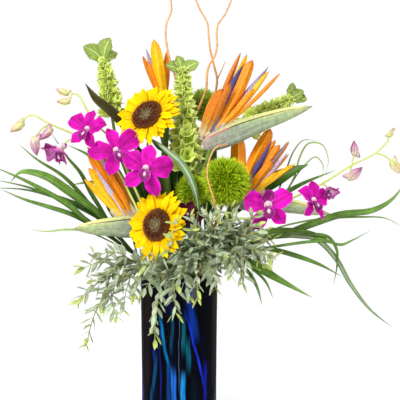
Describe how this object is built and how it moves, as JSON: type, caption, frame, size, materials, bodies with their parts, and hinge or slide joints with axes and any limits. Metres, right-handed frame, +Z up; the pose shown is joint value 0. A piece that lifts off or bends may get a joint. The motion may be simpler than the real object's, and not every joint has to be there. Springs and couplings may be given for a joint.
{
  "type": "bird of paradise flower arrangement in a vase",
  "caption": "Bird of paradise flowers with sunflowers, orchids, grasses and eucalyptus, standing in water in a tall glass cylinder vase.",
  "frame": {"origin": "centre of the vase's underside, on the surface that the vase stands on", "axes": "+Z up, -Y towards the front of the arrangement, +X to the right seen from the front"},
  "size_m": [0.678, 0.377, 0.7045],
  "materials": {
    "vase_glass": "clear, polished",
    "water": "clear",
    "sepal": "satin",
    "tongue": "satin",
    "spathe": "waxy",
    "ray_petal": "soft",
    "seed_disc": "rough",
    "stalk": "satin",
    "orchid_petal": "soft",
    "dark_orchid_petal": "soft",
    "orchid_stem": "satin",
    "dianthus": "soft",
    "bells": "satin",
    "willow": "bark",
    "dark_leaf": "waxy",
    "broad_leaf": "waxy",
    "grass": "satin",
    "eucalyptus": "matt"
  },
  "bodies": {
    "root": {"vase": "vase_glass", "bird_right_high_tongue_1": "tongue", "bird_right_high_tongue_2": "tongue", "bird_right_high_sepals": "sepal", "bird_right_high_spathe_stem": "spathe", "bird_right_low_tongue_1": "tongue", "bird_right_low_tongue_2": "tongue", "bird_right_low_tongue_3": "tongue", "bird_right_low_sepals": "sepal", "bird_right_low_spathe_stem": "spathe", "bird_left_tongue_1": "tongue", "bird_left_tongue_2": "tongue", "bird_left_sepals": "sepal", "bird_left_spathe_stem": "spathe", "bird_top_tongue_1": "tongue", "bird_top_sepals": "sepal", "bird_top_spathe_stem": "spathe", "sunflower_high_disc": "seed_disc", "sunflower_high_rays": "ray_petal", "sunflower_high_stem": "stalk", "sunflower_low_disc": "seed_disc", "sunflower_low_rays": "ray_petal", "sunflower_low_stem": "stalk", "orchid_bloom_left_outer": "orchid_petal", "orchid_bloom_left_middle": "orchid_petal", "orchid_bloom_left_inner": "orchid_petal", "orchid_bloom_left_cup": "orchid_petal", "orchid_bloom_right_open": "orchid_petal", "orchid_bloom_right_side": "orchid_petal", "orchid_bloom_centre_dark": "dark_orchid_petal", "orchid_left_long": "orchid_stem", "orchid_left_short": "orchid_stem", "orchid_right": "orchid_stem", "dianthus_right": "dianthus", "dianthus_middle": "dianthus", "dianthus_back": "dianthus", "bells_left": "bells", "bells_middle": "bells", "bells_right": "bells", "willow_left": "willow", "willow_centre": "willow", "willow_right": "willow", "willow_front": "willow", "leaf_bronze": "dark_leaf", "leaf_centre": "broad_leaf", "leaf_right": "broad_leaf", "salal_back": "broad_leaf", "leaf_front": "grass", "grass_left": "grass", "grass_right": "grass", "grass_low_right": "grass", "grass_back": "grass", "eucalyptus_left_high": "eucalyptus", "eucalyptus_left_low": "eucalyptus", "eucalyptus_front_left": "eucalyptus", "eucalyptus_front": "eucalyptus", "eucalyptus_right_high": "eucalyptus", "eucalyptus_right_low": "eucalyptus", "eucalyptus_back": "eucalyptus", "water": "water"}
  },
  "joints": []
}
